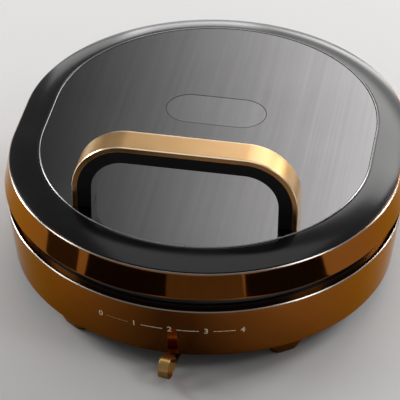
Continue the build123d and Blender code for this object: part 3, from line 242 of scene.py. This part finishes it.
def finish_mesh(name, bm, mats, body, nodes=(), angle=28.0):
    bmesh.ops.recalc_face_normals(bm, faces=bm.faces)
    mesh = bpy.data.meshes.new(name)
    bm.to_mesh(mesh)
    bm.free()
    mesh.polygons.foreach_set("use_smooth", [True] * len(mesh.polygons))
    mesh.set_sharp_from_angle(angle=math.radians(angle))
    for mat in mats:
        mesh.materials.append(mat)
    piece = bpy.data.objects.new(name, mesh)
    collection().objects.link(piece)
    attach(piece, body)
    if nodes:
        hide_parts(*nodes)
    return piece


def soften(corners, steps=3):
    """Rounds the corners of a closed outline of (a, b, radius, material index of the side that starts there).

    A point set just beyond each rounding keeps the flats' shading flat.
    """
    points = []
    sides = []
    count = len(corners)
    for i, (a, b, radius, side) in enumerate(corners):
        here = Vector((a, b))
        before = Vector(corners[i - 1][:2]) - here
        after = Vector(corners[(i + 1) % count][:2]) - here
        arriving = corners[i - 1][3]
        angle = before.angle(after)
        cut = min(0.40 * min(before.length, after.length), radius / math.tan(angle / 2)) if radius else 0
        if cut <= 0:
            points.append(here)
            sides.append(side)
            continue
        before_guard = cut + 0.09 * before.length
        after_guard = cut + 0.09 * after.length
        start = here + before.normalized() * cut
        end = here + after.normalized() * cut
        points.append(here + before.normalized() * before_guard)
        sides.append(arriving)
        for k in range(steps + 1):
            t = k / steps
            points.append(start * (1 - t) ** 2 + here * 2 * t * (1 - t) + end * t ** 2)
            sides.append(side if 2 * k >= steps else arriving)
        points.append(here + after.normalized() * after_guard)
        sides.append(side)
    return points, sides


def bowed(start, end, bow, steps=10):
    """Points of a shallow arc from start to end that bulges to the left of its way by bow, ends left out."""
    a, b = Vector(start), Vector(end)
    across = Vector((a.y - b.y, b.x - a.x)).normalized()
    points = []
    for k in range(1, steps):
        t = k / steps
        points.append(a.lerp(b, t) + across * bow * 4 * t * (1 - t))
    return points


def stadium_frame(steps=ROUND_STEPS):
    """Points of the plan's centre line with their outward directions, anticlockwise seen from above."""
    loop = []
    for side in (1, -1):
        for k in range(steps + 1):
            a = math.pi * k / steps + (0 if side > 0 else math.pi)
            loop.append((Vector((0, side * END_OFFSET)), Vector((math.cos(a), math.sin(a)))))
        straight = 6
        for k in range(1, straight):
            y = side * END_OFFSET * (1 - 2 * k / straight)
            loop.append((Vector((0, y)), Vector((-side, 0))))
    return loop


def swept_ring(name, outline, mats, body, nodes=(), angle=28.0, bosses=False):
    """Carries a closed (radius, height) outline round the stadium, with screw bosses where asked."""
    profile, sides = outline
    bm = bmesh.new()
    rows = []
    for centre, out in stadium_frame():
        rows.append([bm.verts.new(((centre.x + out.x * p[0]) * mm, (centre.y + out.y * p[0]) * mm, p[1] * mm))
                     for p in profile])
    for i, row in enumerate(rows):
        following = rows[(i + 1) % len(rows)]
        for j in range(len(profile)):
            k = (j + 1) % len(profile)
            face = bm.faces.new((row[j], following[j], following[k], row[k]))
            face.material_index = sides[j]
    for side in (1, -1) if bosses else ():
        for degrees in BOSS_DEGREES:
            a = math.radians(degrees)
            middle = Vector((BOSS_CIRCLE * math.cos(a), side * (END_OFFSET + BOSS_CIRCLE * math.sin(a)),
                             (BOSS_LOW + BOSS_HIGH) / 2)) * mm
            bmesh.ops.create_cone(bm, cap_ends=True, segments=24, radius1=BOSS_RADIUS * mm,
                                  radius2=BOSS_RADIUS * mm, depth=(BOSS_HIGH - BOSS_LOW) * mm,
                                  matrix=Matrix.Translation(middle))
    return finish_mesh(name, bm, mats, body, nodes, angle)


def swept_bar(name, path, outline, mats, body, nodes=(), place=None, angle=28.0):
    """Sweeps a closed outline of (along the normal, sideways) on a path of (point, normal) pairs."""
    profile, sides = outline
    bm = bmesh.new()
    rows = []
    for point, normal in path:
        row = []
        for p in profile:
            flat = point + normal * p[0]
            row.append(bm.verts.new(place(flat, p[1])))
        rows.append(row)
    for row, following in zip(rows, rows[1:]):
        for j in range(len(profile)):
            k = (j + 1) % len(profile)
            face = bm.faces.new((row[j], following[j], following[k], row[k]))
            face.material_index = sides[j]
    bm.faces.new(rows[0])
    bm.faces.new(rows[-1])
    return finish_mesh(name, bm, mats, body, nodes, angle)


def cut_out(piece, boxes):
    """Cuts boxes of (low corner, high corner) in millimetres out of a closed piece."""
    bm = bmesh.new()
    for low, high in boxes:
        made = bmesh.ops.create_cube(bm, size=1)["verts"]
        for v in made:
            v.co = Vector([(low[i] if v.co[i] < 0 else high[i]) * mm for i in range(3)])
    mesh = bpy.data.meshes.new("cutter")
    bm.to_mesh(mesh)
    bm.free()
    cutter = bpy.data.objects.new("cutter", mesh)
    collection().objects.link(cutter)
    modifier = piece.modifiers.new("cut", "BOOLEAN")
    modifier.operation = "DIFFERENCE"
    modifier.solver = "EXACT"
    modifier.object = cutter
    bpy.context.view_layer.update()
    result = bpy.data.meshes.new_from_object(piece.evaluated_get(bpy.context.evaluated_depsgraph_get()))
    piece.modifiers.remove(modifier)
    piece.data = result
    bpy.data.objects.remove(cutter)


# Base side, rolled in at the bottom, with a bright cut edge at the top
base_side = swept_ring("base_side", soften([
    (164.5, Z_SHELL_BOTTOM, 0.3, 0),
    (BASE_BOTTOM_RADIUS, Z_SHELL_BOTTOM, 2.4, 0),
    (BASE_TOP_RADIUS, 67.2, 0.25, 1),
    (171.8, Z_BASE_TOP, 0.25, 0),
    (160.0, Z_BASE_TOP, 0.0, 0),
    (160.0, 65.5, 0.0, 0),
    (170.1, 65.5, 2.0, 0),
    (164.6, 20.5, 0.5, 0),
], 5), (bronze, bright_edge), "base", ("base_shell",))
cut_out(base_side, [INLET_CUT])

# Lid side with a bright cut edge at the top
lid_side = swept_ring("lid_side", soften([
    (173.2, Z_LID_BOTTOM, 0.25, 0),
    (LID_BOTTOM_RADIUS, 81.8, 0.25, 0),
    (170.0, 104.2, 0.25, 1),
    (169.2, Z_LID_EDGE, 0.25, 0),
    (167.5, Z_LID_EDGE, 0.0, 0),
    (171.5, Z_LID_BOTTOM, 0.0, 0),
], 3), (bronze, bright_edge), "lid", ("lid_band",))
cut_out(lid_side, HINGE_ARM_CUTS)

# Gloss rim with a crowned slope, softened lips and the screw bosses below it
slope = bowed((RIM_OUTER, 105.7), (RIM_LIP, Z_PANEL - 0.2), RIM_CROWN, 14)
swept_ring("gloss_rim", soften(
    [(RIM_OUTER, Z_LID_EDGE, 0.0, 0), (RIM_OUTER, 105.7, 0.5, 0)]
    + [(p.x, p.y, 0.0, 0) for p in slope]
    + [(RIM_LIP, Z_PANEL - 0.2, 0.3, 0), (RIM_LIP, 110.6, 0.0, 0), (139.0, 110.6, 0.0, 0),
       (139.0, 107.6, 0.0, 0), (165.2, 102.0, 0.0, 0), (165.2, 98.0, 0.0, 0), (167.2, 98.0, 0.0, 0),
       (167.2, Z_LID_EDGE, 0.0, 0)], 3),
    (gloss_black,), "lid", ("lid_rim",), bosses=True)

# Thin bright ring between rim and panel, bevelled outwards, in a black lip
swept_ring("bright_ring", soften([
    (RING_INNER, 110.65, 0.0, 1),
    (RING_OUTER, 110.65, 0.0, 1),
    (RING_OUTER, 111.90, 0.1, 1),
    (143.45, 112.10, 0.0, 0),
    (142.85, 112.55, 0.15, 0),
    (RING_INNER, 112.30, 0.0, 0),
]), (trim_grey, gloss_black), "lid", ("panel_trim",))


# Bare badge plate, with a black shoulder that fills most of the gap round it and stands in for the shade in
# the groove: painted shade
BADGE_HALF = 22.5
BADGE_RADIUS = 22.0
BADGE_Y = 31.0
BADGE_STEPS = 32
bm = bmesh.new()
loops = []
for grow, z in ((0.42, Z_SEAT), (0.42, 111.8), (-0.35, 111.8), (-0.35, 111.87), (-0.40, 111.9)):
    radius = BADGE_RADIUS + grow
    loops.append([bm.verts.new(((side * BADGE_HALF + radius * math.cos(a)) * mm,
                                (BADGE_Y + radius * math.sin(a)) * mm, z * mm))
                  for side, first in ((1, -0.5), (-1, 0.5))
                  for a in (math.pi * (first + k / BADGE_STEPS) for k in range(BADGE_STEPS + 1))])
for low, high in zip(loops, loops[1:]):
    for k in range(len(low)):
        j = (k + 1) % len(low)
        # The shoulder, its walls and its underside are black: painted shade of the groove round the badge
        bm.faces.new((low[k], low[j], high[j], high[k])).material_index = 1
bm.faces.new(loops[0]).material_index = 1
bm.faces.new(loops[-1])
finish_mesh("badge_inlay", bm, (badge_metal, moulded_black), "lid", ("badge_plate",))


# Handle: the strap's bevels are bright, as on a cut edge; its front and back faces are a darker copy of the
# gold, painted shade
HANDLE_FRONT = -131.29
HANDLE_DEPTH = 25.3
HANDLE_HALF = 94.5
HANDLE_HEIGHT = 64.5
HANDLE_CORNER = 45.0
STRAP_DEEP = 4.6
STRAP_BEVEL = 0.55
STRAP_BEVEL_WIDTH = 1.3
GRIP_OUTER = 4.7
GRIP_INNER = 16.3
GRIP_INSET = 0.8


def arch_path(steps=28):
    """Points of the handle's outline in X and Z with their inward directions, left foot to right foot."""
    path = [(Vector((-HANDLE_HALF, Z_PANEL)), Vector((1, 0)))]
    for side, first in ((-1, math.pi), (1, math.pi / 2)):
        centre = Vector((side * (HANDLE_HALF - HANDLE_CORNER), Z_PANEL + HANDLE_HEIGHT - HANDLE_CORNER))
        for k in range(steps + 1):
            a = first - math.pi / 2 * k / steps
            out = Vector((math.cos(a), math.sin(a)))
            path.append((centre + out * HANDLE_CORNER, -out))
    path.append((Vector((HANDLE_HALF, Z_PANEL)), Vector((-1, 0))))
    return path


def in_xz(flat, sideways):
    return Vector((flat.x * mm, sideways * mm, flat.y * mm))


front, rear = HANDLE_FRONT, HANDLE_FRONT + HANDLE_DEPTH
swept_bar("strap", arch_path(), soften([
    (0.0, front + STRAP_BEVEL_WIDTH, 0.2, 1),
    (STRAP_BEVEL, front, 0.2, 2),
    (STRAP_DEEP, front, 0.2, 0),
    (STRAP_DEEP, rear, 0.2, 2),
    (STRAP_BEVEL, rear, 0.2, 1),
    (0.0, rear - STRAP_BEVEL_WIDTH, 0.2, 0),
], 3), (satin_gold, cut_gold, strap_faces_painted_shade), "lid", ("handle_strap",), in_xz)
swept_bar("grip", arch_path(), soften([
    (GRIP_OUTER, front + GRIP_INSET, 0.0, 0),
    (GRIP_INNER, front + GRIP_INSET, 1.3, 0),
    (GRIP_INNER, rear - GRIP_INSET, 1.3, 0),
    (GRIP_OUTER, rear - GRIP_INSET, 0.0, 0),
], 5), (grip_black,), "lid", ("handle_core",), in_xz)

# Lever's curled strip
CURL_Y = -207.2
CURL_Z = 15.8
CURL_MIDDLE = 9.3
STRIP_HALF = 4.4
STRIP_THICK = 1.8
KNOB_TURN = math.radians(10)
JOINT = math.radians(40)
CURL_SWEEP = math.radians(308)
STRIP_TOP = 23.5
STRIP_LOW = 12.2
LAP_START = -151.0
DROP_START = -170.4
DROP_END = -179.9
BEND_RADIUS = 2.4
BEND_STEPS = 8
CURL_STEPS = 60


def strip_path():
    """Middle line of the strip in Y and Z with its normals, from its lap on the arm to the curl's end."""
    touch = Vector((CURL_Y + CURL_MIDDLE * math.cos(JOINT), CURL_Z - CURL_MIDDLE * math.sin(JOINT)))
    knee = Vector((touch.x + (STRIP_LOW - touch.y) * math.tan(JOINT), STRIP_LOW))
    corners = [Vector((LAP_START, STRIP_TOP)), Vector((DROP_START, STRIP_TOP)), Vector((DROP_END, STRIP_LOW)),
               knee, touch]
    points = [corners[0]]
    for before, here, after in zip(corners, corners[1:], corners[2:]):
        back = (before - here).normalized()
        on = (after - here).normalized()
        angle = back.angle(on)
        reach = BEND_RADIUS / math.tan(angle / 2)
        centre = here + (back + on).normalized() * (BEND_RADIUS / math.sin(angle / 2))
        start = here + back * reach - centre
        end = here + on * reach - centre
        turn = start.angle_signed(end)
        for k in range(BEND_STEPS + 1):
            points.append(centre + Matrix.Rotation(-turn * k / BEND_STEPS, 2) @ start)
    for k in range(CURL_STEPS + 1):
        a = -JOINT - CURL_SWEEP * k / CURL_STEPS
        points.append(Vector((CURL_Y + CURL_MIDDLE * math.cos(a), CURL_Z + CURL_MIDDLE * math.sin(a))))
    path = []
    for i, point in enumerate(points):
        along = points[min(i + 1, len(points) - 1)] - points[max(i - 1, 0)]
        along.normalize()
        path.append((point, Vector((along.y, -along.x))))
    return path


def in_yz(flat, sideways):
    run = flat.x - CURL_Y
    x = sideways * math.cos(KNOB_TURN) + run * math.sin(KNOB_TURN)
    y = CURL_Y - sideways * math.sin(KNOB_TURN) + run * math.cos(KNOB_TURN)
    return Vector((x * mm, y * mm, flat.y * mm))


half = STRIP_THICK / 2
swept_bar("curled_strip", strip_path(), soften([
    (-half, -STRIP_HALF, 0.35, 0),
    (half, -STRIP_HALF, 0.35, 0),
    (half, STRIP_HALF, 0.35, 0),
    (-half, STRIP_HALF, 0.35, 0),
], 4), (knob_gold,), "lever", ("lever_knob",), in_yz)


# Printed scale on the base's front: plain figures joined by lines, the first stretch dotted
SCALE_Z = 46.0
SCALE_STEP = math.radians(10.25)
SCALE_MARKS = 5
FIGURE_SIZE = 7.8
FIGURE_BOLD = 0.14
WALL_RADIUS = 171.0
LINE_HALF = 0.4
DOT_HALF = 0.36
DOT_ANGLE = 0.0019
DOTS = 9


def on_wall(angle, height, lift):
    """Point on the base's front wall, lifted off it by a given amount."""
    climb = (height - Z_SHELL_BOTTOM) / (Z_BASE_TOP - Z_SHELL_BOTTOM)
    radius = BASE_BOTTOM_RADIUS + (BASE_TOP_RADIUS - BASE_BOTTOM_RADIUS) * climb + lift
    return Vector((radius * math.sin(angle) * mm, (-END_OFFSET - radius * math.cos(angle)) * mm, height * mm))


def wall_bar(bm, first, last, low, high):
    """Thin raised bar on the wall between two angles and two heights."""
    steps = max(2, int(abs(last - first) / 0.01))
    rows = []
    for k in range(steps + 1):
        angle = first + (last - first) * k / steps
        rows.append([bm.verts.new(on_wall(angle, z, lift))
                     for z, lift in ((low, -0.03), (low, 0.05), (high, 0.05), (high, -0.03))])
    for row, following in zip(rows, rows[1:]):
        for j in range(4):
            bm.faces.new((row[j], following[j], following[(j + 1) % 4], row[(j + 1) % 4]))
    bm.faces.new(rows[0])
    bm.faces.new(rows[-1])


bm = bmesh.new()
for mark in range(SCALE_MARKS):
    centre = (mark - SCALE_MARKS // 2) * SCALE_STEP
    letters = bpy.data.curves.new(f"figure_{mark}", "FONT")
    letters.body = str(mark)
    letters.size = FIGURE_SIZE
    letters.align_x = "CENTER"
    letters.align_y = "CENTER"
    letters.extrude = 0.04
    letters.offset = FIGURE_BOLD
    text = bpy.data.objects.new(f"figure_{mark}", letters)
    collection().objects.link(text)
    bpy.context.view_layer.update()
    flat = bpy.data.meshes.new_from_object(text.evaluated_get(bpy.context.evaluated_depsgraph_get()))
    made = [bm.verts.new(on_wall(centre + v.co.x / WALL_RADIUS, SCALE_Z + v.co.y, 0.02 + v.co.z))
            for v in flat.vertices]
    for polygon in flat.polygons:
        bm.faces.new([made[i] for i in polygon.vertices])
    bpy.data.objects.remove(text)
    bpy.data.curves.remove(letters)
    bpy.data.meshes.remove(flat)
    if mark == SCALE_MARKS - 1:
        continue
    start = centre + 0.20 * SCALE_STEP
    end = centre + 0.80 * SCALE_STEP
    if mark:
        wall_bar(bm, start, end, SCALE_Z - LINE_HALF, SCALE_Z + LINE_HALF)
    else:
        for k in range(DOTS):
            middle = start + (end - start) * k / (DOTS - 1)
            wall_bar(bm, middle - DOT_ANGLE, middle + DOT_ANGLE, SCALE_Z - DOT_HALF, SCALE_Z + DOT_HALF)
finish_mesh("scale_print", bm, (print_gold,), "base")

# Camera at the photograph's angle
AZIMUTH = math.radians(9.17)
ELEVATION = math.radians(34.52)
ROLL = math.radians(0.69)
DISTANCE = 2.0
aim = Vector((7.2, -93.8, Z_LID_EDGE)) * mm
back = Vector((math.sin(AZIMUTH) * math.cos(ELEVATION), -math.cos(AZIMUTH) * math.cos(ELEVATION),
               math.sin(ELEVATION)))
eye = back * DISTANCE + Vector((0, 0, Z_LID_EDGE * mm))
forward = (aim - eye).normalized()
right = forward.cross(Vector((0, 0, 1))).normalized()
up = right.cross(forward)
tilted_right = right * math.cos(ROLL) + up * math.sin(ROLL)
tilted_up = up * math.cos(ROLL) - right * math.sin(ROLL)
camera = bpy.data.objects.new("camera", bpy.data.cameras.new("camera"))
collection().objects.link(camera)
turned = Matrix((tilted_right, tilted_up, -forward)).transposed().to_4x4()
camera.matrix_world = Matrix.Translation(eye) @ turned
camera.data.lens = 205.9
camera.data.sensor_width = 36.0
camera.data.clip_start = 0.05
camera.data.clip_end = 60
bpy.context.scene.camera = camera

# Floor and light
floor_mesh = bpy.data.meshes.new("floor")
bm = bmesh.new()
bmesh.ops.create_grid(bm, x_segments=1, y_segments=1, size=14)
bm.to_mesh(floor_mesh)
bm.free()
floor = bpy.data.objects.new("floor", floor_mesh)
floor_mat, floor_tree, floor_shader = new_material("pale_floor")
floor_shader.inputs["Roughness"].default_value = 0.7
floor_shade = blend_colours(floor_tree, noise(floor_tree, 0.7), (0.74, 0.735, 0.73), (0.78, 0.775, 0.77))
floor_tree.links.new(floor_shade, floor_shader.inputs["Base Color"])
floor_mesh.materials.append(floor_mat)
collection().objects.link(floor)

world = bpy.data.worlds.new("studio")
bpy.context.scene.world = world
world.use_nodes = True
world.node_tree.nodes["Background"].inputs["Color"].default_value = (0.86, 0.87, 0.88, 1)
world.node_tree.nodes["Background"].inputs["Strength"].default_value = 0.16


def softbox(name, place, target, size, power, colour=(1, 1, 1)):
    data = bpy.data.lights.new(name, "AREA")
    data.shape = "RECTANGLE"
    data.size, data.size_y = size
    data.energy = power
    data.color = colour
    lamp = bpy.data.objects.new(name, data)
    collection().objects.link(lamp)
    lamp.location = place
    lamp.rotation_mode = "QUATERNION"
    lamp.rotation_quaternion = (Vector(target) - Vector(place)).to_track_quat("-Z", "Y")
    return lamp


# Name, place, target, size and power of each softbox; the first is the big one at the back
LID_TOP = (0.0, -0.05, 0.11)
LAMPS = (
    ("key_back", (0.2, 2.25, 1.0), LID_TOP, (2.0, 1.9), 49, (1.0, 0.99, 0.98)),
    ("low_back", (-0.45, 2.2, 0.42), LID_TOP, (0.5, 0.7), 3),
    ("rim_left", (-0.86, 2.1, 0.52), (0.0, 0.0, 0.11), (0.55, 0.75), 1.6),
    ("side_right", (1.75, 1.45, 1.2), (0, 0, 0.05), (0.9, 0.8), 27),
    ("side_left", (-2.1, 0.75, 1.0), (0, 0, 0.05), (0.8, 0.7), 26),
    ("overhead", (0.0, 0.4, 2.5), (0, 0, 0.05), (2.0, 1.6), 8),
    ("front_left", (-1.9, -0.4, 1.45), (0, -0.1, 0.1), (0.6, 0.6), 4),
    ("front_right", (1.5, -0.5, 1.6), (0, -0.1, 0.1), (0.6, 0.6), 4),
)
# Across the big softbox, where its light starts to fade and where it is gone; up it, the light's levels
FADE_START, FADE_END = 0.60, 0.99
FADE_POWER = 2.0
DIM_BAND = ((0.01, 1.0), (0.18, 1.0), (0.27, 0.25), (0.46, 0.25), (0.62, 1.0), (0.74, 1.0), (0.99, 0.78))
key = [softbox(*lamp) for lamp in LAMPS][0]

# The big softbox fades out towards its left end, and is dimmer in a band below its middle
key.data.use_nodes = True
key_tree = key.data.node_tree
across = add(key_tree, "ShaderNodeSeparateXYZ")
key_tree.links.new(add(key_tree, "ShaderNodeNewGeometry").outputs["Parametric"], across.inputs["Vector"])
fade = add(key_tree, "ShaderNodeMapRange")
for socket, value in (("From Min", FADE_END), ("From Max", FADE_START), ("To Min", 0.0), ("To Max", 1.0)):
    fade.inputs[socket].default_value = value
key_tree.links.new(across.outputs["X"], fade.inputs["Value"])
curve = add(key_tree, "ShaderNodeMath", operation="POWER")
key_tree.links.new(fade.outputs["Result"], curve.inputs[0])
curve.inputs[1].default_value = FADE_POWER
ramp = add(key_tree, "ShaderNodeValToRGB")
key_tree.links.new(across.outputs["Y"], ramp.inputs["Fac"])
stops = ramp.color_ramp.elements
for place, level in DIM_BAND:
    stop = stops.new(place)
    stop.color = (level, level, level, 1)
stops.remove(stops[0])
stops.remove(stops[-1])
both = add(key_tree, "ShaderNodeMath", operation="MULTIPLY")
key_tree.links.new(curve.outputs["Value"], both.inputs[0])
key_tree.links.new(ramp.outputs["Color"], both.inputs[1])
key_tree.links.new(both.outputs["Value"], key_tree.nodes["Emission"].inputs["Strength"])


def card(name, corners, shade, height=0.002, fade=None):
    """Flat card on the floor, seen by reflections alone, for dark streaks in the polished sides; under the
    base it is a painted floor shadow for the base's front to reflect.

    With fade, the card thins out in X from the first distance to the second.
    """
    bm = bmesh.new()
    bm.faces.new([bm.verts.new((x, y, height)) for x, y in corners])
    mesh = bpy.data.meshes.new(name)
    bm.to_mesh(mesh)
    bm.free()
    mat, tree, shader = new_material(name)
    tree.links.new(blend_colours(tree, noise(tree, 40.0), (shade,) * 3, (shade * 1.3,) * 3),
                   shader.inputs["Base Color"])
    shader.inputs["Roughness"].default_value = 0.9
    shader.inputs["Specular IOR Level"].default_value = 0.1
    if fade:
        parts = add(tree, "ShaderNodeSeparateXYZ")
        tree.links.new(add(tree, "ShaderNodeTexCoord").outputs["Object"], parts.inputs["Vector"])
        away = add(tree, "ShaderNodeMath", operation="ABSOLUTE")
        tree.links.new(parts.outputs["X"], away.inputs[0])
        tree.links.new(spread(tree, away.outputs["Value"], 0.8, 0.0, *fade), shader.inputs["Alpha"])
    mesh.materials.append(mat)
    sheet = bpy.data.objects.new(name, mesh)
    collection().objects.link(sheet)
    sheet.visible_camera = sheet.visible_shadow = sheet.visible_diffuse = False


card("card_front",
     ((-0.212, -0.270), (-0.360, -0.395), (-0.235, -0.520), (-0.075, -0.60), (-0.034, -0.380)), 0.01)
card("card_left", ((-0.250, -0.175), (-0.400, -0.180), (-0.370, -0.340), (-0.222, -0.255)), 0.06)
card("card_right", ((0.160, -0.345), (0.262, -0.530), (0.400, -0.45), (0.450, -0.25), (0.277, -0.168)), 0.01)
card("card_middle", ((-0.034, -0.370), (-0.08, -0.62), (0.28, -0.60), (0.160, -0.345)), 0.2, 0.001)
# Under the base: a dark sheet, faded out towards the sides, that the base's front reflects as a shadow on the
# floor: painted shadow
card("painted_shadow_card_under", ((-0.16, -0.06), (-0.16, -0.30), (0.16, -0.30), (0.16, -0.06)), 0.02, 0.0015, (0.02, 0.14))

bpy.context.scene.view_settings.view_transform = "Standard"
